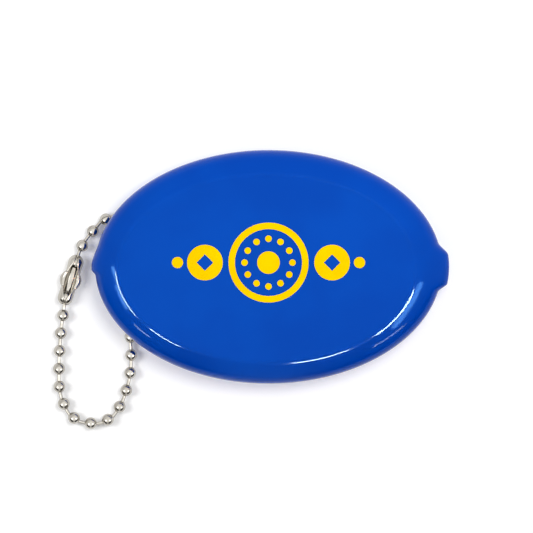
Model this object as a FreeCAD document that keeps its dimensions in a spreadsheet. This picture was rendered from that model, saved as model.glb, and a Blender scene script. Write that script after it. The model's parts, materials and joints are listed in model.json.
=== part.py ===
"""Squeeze coin purse: a moulded vinyl purse with a slit back, and a ball chain on its lug.

Frame: millimetres, +Z up. The purse lies on its back on the plane z = 0, with its front face up.
The origin is the middle of that rest plane, X runs along the purse and the chain is at its -X end.
"""
import FreeCAD
import Part
import math
import os

Vector = FreeCAD.Vector

# Driving dimensions, one cell of the sheet each
SIZES = (
    # Moulded body
    ("purse_length", 80.0),
    ("purse_width", 54.0),
    ("wall", 1.8),
    ("border_underside", 3.9),
    ("rim_height", 6.8),
    ("border_top", 9.6),
    ("front_rise", 2.2),
    ("roll_width", 2.4),
    ("plateau_inset", 5.8),
    # Raised pad of the back, which the slit divides
    ("pad_length", 54.0),
    ("pad_width", 34.0),
    ("pad_flare", 2.5),
    ("lip_margin", 1.2),
    ("lip_reach", 14.0),
    ("slit_gap", 0.4),
    ("lip_clearance", 0.2),
    # Nub on the right end and tab on the left end of the rim
    ("nub_width", 7.8),
    ("nub_reach", 1.6),
    ("nub_height", 3.6),
    ("nub_corner", 1.3),
    ("tab_width", 4.4),
    ("tab_reach", 0.8),
    ("tab_height", 3.0),
    ("tab_corner", 0.7),
    ("end_root", 4.0),
    # Lug for the chain, under the left end and placed from the end of the pad
    ("lug_place", 4.4),
    ("lug_thickness", 2.4),
    ("lug_wall", 1.1),
    ("lug_floor_gap", 0.1),
    ("eye_clearance", 0.3),
    # Ball chain
    ("bead_diameter", 2.8),
    ("bead_wall", 0.25),
    ("bead_hole", 0.92),
    ("pin_diameter", 0.62),
    ("pin_gap", 1.6),
    ("head_diameter", 0.98),
    ("head_thickness", 0.25),
    ("head_depth", 1.1),
    # Connector that closes the loop
    ("clasp_wall", 0.25),
    ("clasp_clearance", 0.15),
    ("clasp_mouth_length", 8.0),
    ("clasp_mouth_width", 2.2),
    ("clasp_ear_length", 3.8),
    ("clasp_ear_reach", 0.55),
    ("clasp_ear_height", 1.1),
    ("clasp_hole", 1.4),
    ("clasp_slit", 0.8),
    # Length by which a cutting solid passes the face that it cuts
    ("overrun", 0.5),
)

# Directions in which the chain leaves each ball, in degrees from +X, starting at the lug
SHORT_STRAND_HEADINGS = (76, 94, 137, 181, 222, 234, 249)
LONG_STRAND_HEADINGS = (269, 268, 268, 268, 272, 267, 257, 248, 228, 192, 162, 126, 104, 91, 88, 86, 83, 82)

# How far the balls beside the lug and beside the clasp are lifted, as a share of the lift there
NEIGHBOUR_LIFT_SHARE = 0.45

# Rounds in which each ball's axis settles between its two pins
AXIS_STEPS = 30

# Sections of the rim's roll, as angles, and of the step up to the plateau, as shares of its width
ROLL_ANGLES = (0, 30, 60, 90)
STEP_SHARES = (0.25, 0.5, 0.75, 1.0)

doc = FreeCAD.newDocument("coin_purse")
sheet = doc.addObject("Spreadsheet::Sheet", "sheet")
for row, (alias, value) in enumerate(SIZES, start=1):
    sheet.set(f"A{row}", alias)
    sheet.set(f"B{row}", str(value))
    sheet.setAlias(f"B{row}", alias)
doc.recompute()
size = {alias: sheet.get(alias) for alias, _ in SIZES}


def bound(kind, name, **expressions):
    """Add an object and bind its properties to cells; Base_x stands for Placement.Base.x."""
    item = doc.addObject(kind, name)
    for prop, expression in expressions.items():
        path = prop.replace("Base_", "Placement.Base.")
        item.setExpression(path, expression)
    return item


def turned(item, axis, degrees):
    """Turn an object about its own origin and keep its bound place."""
    item.Placement = FreeCAD.Placement(item.Placement.Base, FreeCAD.Rotation(axis, degrees))
    return item


def fused(name, items):
    """Join solids into one."""
    whole = doc.addObject("Part::MultiFuse", name)
    whole.Shapes = items
    return whole


def cut(name, base, tool):
    """Take one solid out of another."""
    rest = doc.addObject("Part::Cut", name)
    rest.Base = base
    rest.Tool = tool
    return rest


def common(name, items):
    """Keep what solids share."""
    part = doc.addObject("Part::MultiCommon", name)
    part.Shapes = items
    return part


def oval(name, half_length, half_width, height):
    """One ellipse across Z, with its half axes and height as expressions."""
    return bound("Part::Ellipse", name, MajorRadius=half_length, MinorRadius=half_width, Base_z=height)


def rim_oval(name, inset, height):
    """An ellipse that lies one inset inside the purse's outline."""
    half_length = f"sheet.purse_length / 2 - ({inset})"
    half_width = f"sheet.purse_width / 2 - ({inset})"
    return oval(name, half_length, half_width, height)


def loft(name, sections, ruled):
    """A closed solid through ellipses."""
    solid = doc.addObject("Part::Loft", name)
    solid.Sections = sections
    solid.Solid = True
    solid.Ruled = ruled
    return solid


def pebble():
    """Outer form of the body: rolled rim, border and raised front plateau."""
    sections = []
    for angle in ROLL_ANGLES:
        inset = f"sheet.roll_width * (1 - sin({angle} deg))"
        height = f"sheet.rim_height - (sheet.rim_height - sheet.border_underside) * cos({angle} deg)"
        sections.append(rim_oval(f"lower_roll_{angle}", inset, height))
    for angle in reversed(ROLL_ANGLES[:-1]):
        inset = f"sheet.roll_width * (1 - sin({angle} deg))"
        height = f"sheet.rim_height + (sheet.border_top - sheet.rim_height) * cos({angle} deg)"
        sections.append(rim_oval(f"upper_roll_{angle}", inset, height))
    for number, share in enumerate(STEP_SHARES):
        rise_share = share * share * (3 - 2 * share)
        inset = f"sheet.roll_width + (sheet.plateau_inset - sheet.roll_width) * {share}"
        height = f"sheet.border_top + sheet.front_rise * {rise_share}"
        sections.append(rim_oval(f"step_{number}", inset, height))
    return loft("pebble", sections, False)


def pocket():
    """Hollow of the body, one wall inside its outer form."""
    sections = (
        rim_oval("pocket_floor", "sheet.roll_width + sheet.wall", "sheet.border_underside + sheet.wall"),
        rim_oval("pocket_rim", "sheet.wall", "sheet.rim_height"),
        rim_oval("pocket_border", "sheet.roll_width + sheet.wall", "sheet.border_top - sheet.wall"),
        rim_oval("pocket_roof", "sheet.plateau_inset + sheet.wall / 2",
                 "sheet.border_top + sheet.front_rise - sheet.wall"),
    )
    return loft("pocket", list(sections), True)


def pad_form():
    """Raised pad of the back, flaring into the border."""
    foot = oval("pad_foot", "sheet.pad_length / 2", "sheet.pad_width / 2", "0")
    root = oval("pad_root", "sheet.pad_length / 2 + sheet.pad_flare",
                "sheet.pad_width / 2 + sheet.pad_flare", "sheet.border_underside + sheet.wall / 2")
    return loft("pad_form", [foot, root], True)


def pad_pocket():
    """Hollow of the pad, open into the body's hollow."""
    foot = oval("pad_pocket_foot", "sheet.pad_length / 2 - sheet.wall / 2",
                "sheet.pad_width / 2 - sheet.wall / 2", "sheet.wall")
    root = oval("pad_pocket_root", "sheet.pad_length / 2 + sheet.pad_flare - sheet.wall",
                "sheet.pad_width / 2 + sheet.pad_flare - sheet.wall",
                "sheet.border_underside + sheet.wall + sheet.overrun")
    return loft("pad_pocket", [foot, root], True)


def slab(name, grow, low, high):
    """Upright oval slab over the two lips, grown all round by one clearance."""
    outline = oval(f"{name}_outline", f"sheet.pad_length / 2 - sheet.lip_margin + {grow}",
                   f"sheet.pad_width / 2 - sheet.lip_margin + {grow}", low)
    solid = bound("Part::Extrusion", name, LengthFwd=f"({high}) - ({low})")
    solid.Base = outline
    solid.Dir = Vector(0, 0, 1)
    solid.DirMode = "Custom"
    solid.Solid = True
    return solid


def strip(name, near, far, low, high):
    """Box along the whole purse between two distances from the slit."""
    return bound("Part::Box", name, Length="sheet.purse_length", Width=f"({far}) - ({near})",
                 Height=f"({high}) - ({low})", Base_x="-sheet.purse_length / 2", Base_y=near, Base_z=low)


def lip_opening():
    """The hole in the back that both lips close."""
    low = "-sheet.overrun"
    high = "sheet.wall + sheet.overrun"
    edge = "sheet.lip_reach + sheet.lip_clearance"
    oval_slab = slab("opening_slab", "sheet.lip_clearance", low, high)
    return common("lip_opening", [oval_slab, strip("opening_strip", f"-({edge})", edge, low, high)])


def end_block(name, side):
    """Small moulded block on an end of the rim, with rounded outer corners."""
    reach = f"sheet.{name}_reach + sheet.end_root"
    inner = "sheet.purse_length / 2 - sheet.end_root"
    base_x = inner if side > 0 else f"-({inner}) - ({reach})"
    block = bound("Part::Box", f"{name}_block", Length=reach, Width=f"sheet.{name}_width",
                  Height=f"sheet.{name}_height", Base_x=base_x, Base_y=f"-sheet.{name}_width / 2",
                  Base_z=f"sheet.rim_height - sheet.{name}_height / 2")
    doc.recompute()
    outer_x = side * (size["purse_length"] / 2 + size[f"{name}_reach"])
    rounded = doc.addObject("Part::Fillet", f"{name}_form")
    rounded.Base = block
    radius = size[f"{name}_corner"]
    rounded.Edges = [
        (number, radius, radius)
        for number, edge in enumerate(block.Shape.Edges, start=1)
        if all(abs(vertex.X - outer_x) < Part.Precision.confusion() for vertex in edge.Vertexes)
    ]
    return rounded


def lug_form():
    """Upright fin under the left end, rounded round the chain's eye."""
    radius = "sheet.bead_diameter / 2 + sheet.eye_clearance + sheet.lug_wall"
    centre = f"{radius} + sheet.lug_floor_gap"
    place = "-sheet.pad_length / 2 - sheet.lug_place"
    ring = bound("Part::Cylinder", "lug_ring", Radius=radius, Height="sheet.lug_thickness",
                 Base_x=place, Base_y="sheet.lug_thickness / 2", Base_z=centre)
    turned(ring, Vector(1, 0, 0), 90)
    web = bound("Part::Box", "lug_web", Length=f"2 * ({radius})", Width="sheet.lug_thickness",
                Height=f"sheet.border_underside + sheet.wall / 2 - ({centre})",
                Base_x=f"{place} - ({radius})", Base_y="-sheet.lug_thickness / 2", Base_z=centre)
    return fused("lug_form", [ring, web])


def lug_eye():
    """The hole that the chain passes through."""
    radius = "sheet.bead_diameter / 2 + sheet.eye_clearance"
    reach = "sheet.lug_thickness / 2 + sheet.overrun"
    eye = bound("Part::Cylinder", "lug_eye", Radius=radius, Height=f"2 * ({reach})",
                Base_x="-sheet.pad_length / 2 - sheet.lug_place", Base_y=reach,
                Base_z=f"{radius} + sheet.lug_wall + sheet.lug_floor_gap")
    return turned(eye, Vector(1, 0, 0), 90)


def purse_shell():
    """The moulding: body, pad border, end nub, tab and lug, hollow and open at the back."""
    ends = [end_block("nub", 1), end_block("tab", -1)]
    solid = fused("shell_solid", [pebble(), pad_form(), *ends, lug_form()])
    hollow = fused("shell_hollow", [pocket(), pad_pocket(), lip_opening(), lug_eye()])
    return cut("purse_shell", solid, hollow)


def lip(name, side):
    """One half of the slit back, from the slit to its straight bend line."""
    near = "sheet.slit_gap / 2" if side > 0 else "-sheet.lip_reach"
    far = "sheet.lip_reach" if side > 0 else "-sheet.slit_gap / 2"
    oval_slab = slab(f"{name}_slab", "0", "0", "sheet.wall")
    return common(name, [oval_slab, strip(f"{name}_strip", near, far, "0", "sheet.wall")])


def bead(name, place):
    """One hollow ball with a hole at each end of its axis."""
    ball = bound("Part::Sphere", f"{name}_ball", Radius="sheet.bead_diameter / 2")
    inside = bound("Part::Sphere", f"{name}_inside", Radius="sheet.bead_diameter / 2 - sheet.bead_wall")
    hole = bound("Part::Cylinder", f"{name}_hole", Radius="sheet.bead_hole / 2",
                 Height="sheet.bead_diameter + 2 * sheet.overrun",
                 Base_z="-sheet.bead_diameter / 2 - sheet.overrun")
    shell = cut(name, ball, fused(f"{name}_hollow", [inside, hole]))
    shell.Placement = place
    return shell


def link(name, place):
    """One pin between two balls, with a flat head inside each."""
    reach = "sheet.pin_gap / 2 + sheet.head_depth"
    pin = bound("Part::Cylinder", f"{name}_pin", Radius="sheet.pin_diameter / 2",
                Height=f"2 * ({reach})", Base_z=f"-({reach})")
    heads = [
        bound("Part::Cylinder", f"{name}_head_{end}", Radius="sheet.head_diameter / 2",
              Height="sheet.head_thickness", Base_z=height)
        for end, height in (("low", f"-({reach})"), ("high", f"{reach} - sheet.head_thickness"))
    ]
    whole = fused(name, [pin, *heads])
    whole.Placement = place
    return whole


def capsule(name, radius, seats):
    """Round-ended tube about X over the two seats of the clasp."""
    tube = bound("Part::Cylinder", f"{name}_tube", Radius=radius)
    tube.Height = seats
    tube.Placement.Base = Vector(-seats / 2, 0, 0)
    solids = [turned(tube, Vector(0, 1, 0), 90)]
    for end, side in (("left", -1), ("right", 1)):
        dome = bound("Part::Sphere", f"{name}_{end}", Radius=radius)
        dome.Angle1 = 0
        dome.Placement.Base = Vector(side * seats / 2, 0, 0)
        solids.append(turned(dome, Vector(0, 1, 0), side * 90))
    return fused(name, solids)


def clasp_mouth(top):
    """Pointed opening along the top of the clasp: what two round sides share."""
    half_width = size["clasp_mouth_width"] / 2
    half_length = size["clasp_mouth_length"] / 2
    radius = (half_length * half_length + half_width * half_width) / (2 * half_width)
    sides = []
    for end, side in (("left", -1), ("right", 1)):
        round_side = doc.addObject("Part::Cylinder", f"clasp_mouth_{end}")
        round_side.Radius = radius
        round_side.Height = top
        round_side.Placement.Base = Vector(0, side * (radius - half_width), 0)
        sides.append(round_side)
    return common("clasp_mouth", sides)


def clasp_end(end, side, length):
    """Round hole for the pin in one end of the clasp, and the slit that leads to it from the mouth."""
    hole = bound("Part::Cylinder", f"clasp_hole_{end}", Radius="sheet.clasp_hole / 2")
    hole.Height = length
    turned(hole, Vector(0, 1, 0), side * 90)
    slit = bound("Part::Box", f"clasp_slit_{end}", Width="sheet.clasp_slit", Base_y="-sheet.clasp_slit / 2")
    slit.Length = length
    slit.Height = length
    slit.Placement.Base.x = 0 if side > 0 else -length
    return [hole, slit]


def clasp(name, place, seats):
    """Pressed connector: a thin capsule with a mouth along its top, two ears and slit end holes."""
    inner = "sheet.bead_diameter / 2 + sheet.clasp_clearance"
    outer = f"{inner} + sheet.clasp_wall"
    top = size["bead_diameter"] / 2 + size["clasp_clearance"] + size["clasp_wall"] + size["overrun"]
    openings = [clasp_mouth(top)]
    ears = []
    for end, side in (("left", -1), ("right", 1)):
        openings += clasp_end(end, side, seats / 2 + top)
        near = f"sqrt(({inner} + sheet.clasp_wall / 2) ^ 2 - sheet.clasp_ear_height ^ 2)"
        wide = f"{outer} + sheet.clasp_ear_reach - {near}"
        base_y = near if side > 0 else f"-{near} - ({wide})"
        ears.append(bound("Part::Box", f"clasp_ear_{end}", Length="sheet.clasp_ear_length", Width=wide,
                          Height="sheet.clasp_wall", Base_x="-sheet.clasp_ear_length / 2", Base_y=base_y,
                          Base_z="sheet.clasp_ear_height - sheet.clasp_wall / 2"))
    solid = fused("clasp_solid", [capsule("clasp_outer", outer, seats), *ears])
    hollow = fused("clasp_hollow", [capsule("clasp_inner", inner, seats), *openings])
    whole = cut(name, solid, hollow)
    whole.Placement = place
    return whole


def direction(degrees):
    """Unit vector in the floor plane."""
    return Vector(math.cos(math.radians(degrees)), math.sin(math.radians(degrees)), 0)


def turn_between(first, second):
    """Angle between two headings, in degrees."""
    return abs((second - first + 180) % 360 - 180)


def strand(start, headings, first_turn):
    """Ball centres along one strand. A ball that turns the chain brings its neighbours closer."""
    reach = hole_reach()
    turns = [first_turn] + [turn_between(*pair) for pair in zip(headings, headings[1:])] + [0]
    centres = [start]
    for heading, before, after in zip(headings, turns, turns[1:]):
        bends = math.cos(math.radians(before / 2)) + math.cos(math.radians(after / 2))
        centres.append(centres[-1] + direction(heading) * (size["pin_gap"] + reach * bends))
    return centres[1:]


def hole_reach():
    """Distance from a ball's centre to the middle of its wall, where its pin leaves it."""
    return (size["bead_diameter"] - size["bead_wall"]) / 2


def bead_centres():
    """Centres of all balls, from the clasp round the loop and back to the clasp."""
    radius = size["bead_diameter"] / 2
    eye_height = radius + size["eye_clearance"] + size["lug_wall"] + size["lug_floor_gap"]
    clasp_height = radius + size["clasp_clearance"] + size["clasp_wall"]
    at_lug = Vector(-size["pad_length"] / 2 - size["lug_place"], 0, 0)
    lug_turn = turn_between(SHORT_STRAND_HEADINGS[0] + 180, LONG_STRAND_HEADINGS[0])
    short = strand(at_lug, SHORT_STRAND_HEADINGS, lug_turn)
    centres = short[::-1] + [at_lug] + strand(at_lug, LONG_STRAND_HEADINGS, lug_turn)
    heights = [radius] * len(centres)
    lug_bead = len(short)
    for peak, height in ((lug_bead, eye_height), (0, clasp_height), (len(centres) - 1, clasp_height)):
        heights[peak] = height
        for neighbour in (peak - 1, peak + 1):
            if 0 <= neighbour < len(centres):
                heights[neighbour] = radius + NEIGHBOUR_LIFT_SHARE * (height - radius)
    return [Vector(centre.x, centre.y, height) for centre, height in zip(centres, heights)]


def between(ways):
    """Directions half way between neighbours, with the first and last as they are."""
    inner = [(before + after).normalize() for before, after in zip(ways, ways[1:])]
    return [ways[0], *inner, ways[-1]]


def bead_axes(centres):
    """Axis of each ball: half way between the directions of the pins on its two sides."""
    reach = hole_reach()
    axes = between([(after - before).normalize() for before, after in zip(centres, centres[1:])])
    for _ in range(AXIS_STEPS):
        ends = zip(centres, axes, centres[1:], axes[1:])
        pins = [(enter - way_in * reach - leave - way_out * reach).normalize()
                for leave, way_out, enter, way_in in ends]
        axes = [(axis + way).normalize() for axis, way in zip(axes, between(pins))]
    return axes


def along(point, axis):
    """Placement that puts a piece's own Z on an axis through a point."""
    return FreeCAD.Placement(point, FreeCAD.Rotation(Vector(0, 0, 1), axis))


def chain():
    """All balls and pins of the chain, and the clasp on its two end balls."""
    centres = bead_centres()
    axes = bead_axes(centres)
    pieces = []
    for number, (centre, axis) in enumerate(zip(centres, axes), start=1):
        pieces.append(bead(f"bead_{number:02d}", along(centre, axis)))
    reach = hole_reach()
    for number in range(1, len(centres)):
        leaves = centres[number - 1] + axes[number - 1] * reach
        enters = centres[number] - axes[number] * reach
        pieces.append(link(f"link_{number:02d}", along((leaves + enters) / 2, enters - leaves)))
    across = centres[0] - centres[-1]
    heading = FreeCAD.Rotation(Vector(1, 0, 0), across)
    middle = (centres[0] + centres[-1]) / 2
    pieces.append(clasp("clasp", FreeCAD.Placement(middle, heading), across.Length))
    return pieces


def check(pieces):
    """Stop before anything is written if an object failed or a piece isn't a sound solid."""
    for item in doc.Objects:
        if {"Invalid", "Error"} & set(item.State):
            raise RuntimeError(f"{item.Name} failed: {item.State}")
    for piece in pieces:
        if piece.Shape.isNull() or not piece.Shape.isValid() or len(piece.Shape.Solids) != 1:
            raise RuntimeError(f"{piece.Label} is not one sound solid")


def write(pieces):
    """Write one file for each piece, named by its label."""
    os.makedirs("parts", exist_ok=True)
    for piece in pieces:
        piece.Shape.exportStep(os.path.join("parts", f"{piece.Label}.step"))


pieces = [purse_shell(), lip("upper_lip", 1), lip("lower_lip", -1), *chain()]
doc.recompute()
check(pieces)
write(pieces)
print(len(pieces), "pieces written")
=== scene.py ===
"""Squeeze coin purse: a glossy vinyl purse with a slit back, a printed front and a looped ball chain."""
import json
import math

import bmesh
import bpy
from mathutils import Matrix, Quaternion, Vector

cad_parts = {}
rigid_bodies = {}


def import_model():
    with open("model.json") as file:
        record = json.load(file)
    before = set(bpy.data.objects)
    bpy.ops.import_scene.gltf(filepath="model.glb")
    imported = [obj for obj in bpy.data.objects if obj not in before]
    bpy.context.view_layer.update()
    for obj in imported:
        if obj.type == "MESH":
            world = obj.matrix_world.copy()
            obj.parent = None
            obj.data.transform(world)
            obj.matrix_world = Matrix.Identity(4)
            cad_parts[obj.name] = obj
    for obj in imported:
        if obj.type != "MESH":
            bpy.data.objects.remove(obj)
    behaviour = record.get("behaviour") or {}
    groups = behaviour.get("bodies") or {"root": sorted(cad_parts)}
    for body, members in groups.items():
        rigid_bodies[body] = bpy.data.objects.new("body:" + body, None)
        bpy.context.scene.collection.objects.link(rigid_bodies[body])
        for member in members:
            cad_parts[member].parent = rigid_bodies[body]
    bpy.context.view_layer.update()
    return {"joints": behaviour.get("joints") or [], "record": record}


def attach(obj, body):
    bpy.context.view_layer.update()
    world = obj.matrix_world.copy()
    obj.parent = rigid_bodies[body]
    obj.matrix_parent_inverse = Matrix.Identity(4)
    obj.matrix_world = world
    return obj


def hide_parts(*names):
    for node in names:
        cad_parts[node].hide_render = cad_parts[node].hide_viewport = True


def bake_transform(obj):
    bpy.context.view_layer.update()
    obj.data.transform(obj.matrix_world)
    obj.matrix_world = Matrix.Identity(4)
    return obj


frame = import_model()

bl_info = {
    "name": "Squeeze Coin Purse",
    "version": (1, 0, 0),
    "blender": (4, 5, 0),
    "location": "View3D > Sidebar > Coin Purse",
    "description": "Builds a vinyl squeeze purse with its slit back, printed front and ball chain",
    "category": "Add Mesh",
}

MM = 0.001
FULL_TURN = 2 * math.pi
QUARTER_TURN = math.pi / 2
MERGE_DISTANCE = 0.001 * MM
LIPS = {"upper_lip": 1, "lower_lip": -1}
LIP_HALVES = {"left": -1, "right": 1}
VINYL, INK, FLOOR = "glossy_vinyl", "screen_ink", "pale_floor"
BALL_NICKEL, PIN_NICKEL, CLASP_NICKEL = METALS = ("nickel_ball", "nickel_pin", "nickel_clasp")
JOINTS = {joint["name"]: joint for joint in frame["joints"]}
BODY_NODES = frame["record"]["behaviour"]["bodies"]
# Joints at the middle of the lug's eye, seen from above, and of the ball that hangs in it
EYE_JOINT, EYE_BALL_JOINT = "chain_swing", "spin_bead_08"

# Divisions of the curves, apart from those round the oval, the print and the balls
ROLL_STEPS, SLOPE_STEPS, EDGE_STEPS = 10, 24, 32
FRONT_STEPS, UNDER_ROLL_STEPS, LEDGE_STEPS, CORNER_STEPS = 18, 9, 5, 6
LUG_STEPS, LUG_ROUND_STEPS = 64, 4
LIP_STEPS, SLIT_ROUND_STEPS = 72, 5
PIN_STEPS, PIN_SEGMENTS, HEAD_STEPS, HEAD_RINGS = 24, 4, 20, 10
CLASP_STEPS_AROUND, CLASP_STEPS_ALONG, EAR_STEPS = 40, 96, 5

# How much closer the oval's divisions lie at its ends, and the power that widens the border only there
END_CROWDING, RIGHT_END_POWER = 0.25, 3
# Inward reach of the rounding at the pad's foot as a share of its size, and the most of a lip's width that
# the rounding of its edge takes
FOOT_ROUND_SHARE, LIP_ROUND_SHARE = 0.9, 0.8
# How many walls deep a pin reaches into the ball at each of its ends
PIN_DEPTH = 2
# Angle in degrees above which an edge is sharp, and above which the lug's edges are rounded
SHARP_ANGLE, CHAIN_SHARP_ANGLE, LUG_ROUND_ANGLE = 40, 50, 50


def linear(red, green, blue):
    """A colour given as sRGB screen values of 0 to 255, as the linear values that shaders take."""
    shares = (value / 255 for value in (red, green, blue))
    return tuple(v / 12.92 if v <= 0.04045 else ((v + 0.055) / 1.055) ** 2.4 for v in shares)


def length(name, millimetres, description):
    """A size in the panel, kept in metres."""
    return bpy.props.FloatProperty(
        name=name, description=description, default=millimetres * MM, unit="LENGTH", precision=5)


def angle(name, degrees, description):
    """An angle in the panel."""
    return bpy.props.FloatProperty(
        name=name, description=description, default=math.radians(degrees), unit="ROTATION")


def share(name, default, description):
    """A number from 0 to 1 in the panel."""
    return bpy.props.FloatProperty(
        name=name, description=description, default=default, min=0, max=1, subtype="FACTOR")


def count(name, default, description):
    """A whole number in the panel."""
    return bpy.props.IntProperty(name=name, description=description, default=default, min=1)


def strength(name, default, description):
    """A brightness in the panel."""
    return bpy.props.FloatProperty(name=name, description=description, default=default, min=0)


def colour(name, screen_values, description):
    """A colour in the panel, written as screen values of 0 to 255."""
    return bpy.props.FloatVectorProperty(
        name=name, description=description, default=linear(*screen_values), size=3, min=0, max=1,
        subtype="COLOR")


class PurseSizes(bpy.types.PropertyGroup):
    """Sizes of the moulded vinyl purse."""
    length: length("Length", 80.0, "Length of the oval without its end nub")
    width: length("Width", 54.0, "Width of the oval")
    wall: length("Wall", 1.8, "Thickness of the vinyl")
    panel: length("Front panel", 0.3, "Depth of the front panel, which the bar lamps leave out")
    rim_height: length("Rim height", 6.15, "Height of the widest line above the back")
    roll_radius: length("Roll radius", 4.2, "Radius of the rim above its widest line")
    roll_width: length("Under-roll width", 2.4, "How far the rim curls in below its widest line")
    slope: angle("Border slope", 32, "Tilt of the border where it leaves the rim")
    shoulder: angle("Shoulder slope", 25, "Tilt of the border where it meets the front's rounded edge")
    slope_width: length("Slope width", 2.65, "Width of the sloping border")
    edge_radius: length("Front edge radius", 3.2, "Radius where the border meets the front")
    edge_slope: angle("Front edge slope", 2.5, "Tilt of the domed front at its edge")
    right_share: share("Right border", 0.18, "How much wider the border is at the end with the nub")
    underside: length("Underside height", 3.9, "Height of the border's underside above the back")
    pad_length: length("Pad length", 54.0, "Length of the flat back pad")
    pad_width: length("Pad width", 34.0, "Width of the flat back pad")
    pad_flare: length("Pad flare", 2.1, "How far the pad widens up to the border")
    pad_round: length("Pad rounding", 1.0, "Size of the rounded corners of the pad's side")
    lip_margin: length("Lip margin", 1.2, "Border left on the pad beside the lips")
    lip_reach: length("Lip reach", 14.0, "Distance of a lip's hinge line from the slit")
    slit: length("Slit", 0.12, "Width of the closed slit")
    slit_round: length("Slit rounding", 0.35, "Radius of the slit's edges")
    nub_reach: length("Nub reach", 1.65, "How far the end nub stands out")
    nub_flat_above: length("Nub flat above", 2.7, "Straight part of the end nub above the long axis")
    nub_base_above: length("Nub base above", 5.7, "Where the end nub leaves the rim above the long axis")
    nub_flat_below: length("Nub flat below", 3.8, "Straight part of the end nub below the long axis")
    nub_base_below: length("Nub base below", 5.8, "Where the end nub leaves the rim below the long axis")
    tab_reach: length("Tab reach", 0.8, "How far the small tab stands out")
    tab_flat_above: length("Tab flat above", 0.3, "Straight part of the small tab above the long axis")
    tab_base_above: length("Tab base above", 5.2, "Where the small tab leaves the rim above the long axis")
    tab_flat_below: length("Tab flat below", 0.6, "Straight part of the small tab below the long axis")
    tab_base_below: length("Tab base below", 2.0, "Where the small tab leaves the rim below the long axis")
    bulge_depth: length("Bulge depth", 2.0, "How far in the nub and the tab change the border")
    steps: count("Steps around", 480, "Divisions around the oval")
    lug_wall: length("Lug wall", 1.1, "Wall of the chain lug round its eye")
    lug_eye: length("Lug eye", 3.4, "Diameter of the eye in the chain lug")
    lug_thickness: length("Lug thickness", 2.4, "Thickness of the chain lug")
    lug_sink: length("Lug sink", 0.5, "How far the lug runs into the border")
    lug_round: length("Lug rounding", 0.35, "Radius of the lug's edges")


class PrintSizes(bpy.types.PropertyGroup):
    """Sizes of the plain coin motif printed on the front."""
    ink: length("Ink", 0.05, "Thickness of the ink")
    sink: length("Ink sink", 0.02, "How far the ink goes into the vinyl")
    ring: length("Ring", 9.2, "Outer radius of the middle coin")
    ring_band: length("Ring band", 1.5, "Width of the middle coin's rim")
    dot_circle: length("Dot circle", 5.5, "Radius of the circle of dots")
    dot: length("Dot", 0.75, "Radius of a dot")
    dots: count("Dots", 12, "Dots in the circle")
    core: length("Core", 2.6, "Radius of the disc in the middle")
    side_place: length("Side coin place", 14.6, "Distance of a side coin from the middle")
    side_coin: length("Side coin", 4.1, "Radius of a side coin")
    side_hole: length("Side coin hole", 1.9, "Half the diagonal of the square hole in a side coin")
    end_place: length("End dot place", 20.9, "Distance of an end dot from the middle")
    end_dot: length("End dot", 1.3, "Radius of an end dot")
    raise_up: length("Raise", 1.4, "How far the print's middle lies above the purse's middle")
    steps: count("Steps around", 96, "Divisions around a printed circle")


class ChainSizes(bpy.types.PropertyGroup):
    """Sizes of the ball chain and its clasp."""
    ball: length("Ball", 2.8, "Diameter of a ball")
    ball_wall: length("Ball wall", 0.25, "Thickness of a ball's sheet")
    ball_hole: length("Ball hole", 1.02, "Diameter of the hole at each end of a ball")
    pin: length("Pin", 0.82, "Diameter of a pin")
    head: length("Pin head", 1.2, "Diameter of a pin's head")
    around: count("Steps around", 40, "Divisions around a ball")
    along: count("Steps along", 22, "Divisions of a ball from hole to hole")
    clasp_bore: length("Clasp bore", 3.1, "Inner diameter of the clasp")
    clasp_wall: length("Clasp wall", 0.25, "Thickness of the clasp's sheet")
    clasp_waist: share("Clasp waist", 0.06, "How much narrower the clasp is at its middle")
    mouth_length: length("Mouth length", 9.2, "Length of the clasp's opening")
    mouth_width: length("Mouth width", 3.1, "Width of the clasp's opening")
    clasp_slit: length("Clasp slit", 0.7, "Width of the slit from the opening to each end")
    end_hole: length("End hole", 1.4, "Diameter of the hole at each end of the clasp")
    ear_length: length("Ear length", 3.8, "Length of an ear at the clasp's side")
    ear_reach: length("Ear reach", 0.6, "How far an ear stands out from the clasp's side")
    ear_drop: length("Ear drop", 0.55, "How far an ear falls towards its outer edge")


class Finishes(bpy.types.PropertyGroup):
    """Colours and gloss of the purse's materials."""
    vinyl: colour("Vinyl", (0, 70, 181), "Colour of the vinyl")
    vinyl_deep: colour("Vinyl, deep", (0, 64, 173), "Colour of the vinyl where it is a little darker")
    vinyl_shine: colour("Vinyl shine", (98, 180, 255), "Tint of what the vinyl mirrors")
    vinyl_gloss: share("Vinyl roughness", 0.05, "Roughness of the glossy vinyl")
    ink: colour("Ink", (254, 211, 0), "Colour of the printed coins")
    ink_worn: colour("Ink, thin", (248, 203, 0), "Colour of the ink where it lies thinner")
    nickel: colour("Nickel", (192, 188, 180), "Colour of the plated steel")
    nickel_dull: colour("Nickel, dull", (174, 169, 160), "Colour of the plating where it is dull")
    pin: colour("Pin", (196, 192, 184), "Colour of the bright pins")
    grain: bpy.props.FloatProperty(
        name="Grain", description="How many patches of the fine grain lie on a metre", default=260)


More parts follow.
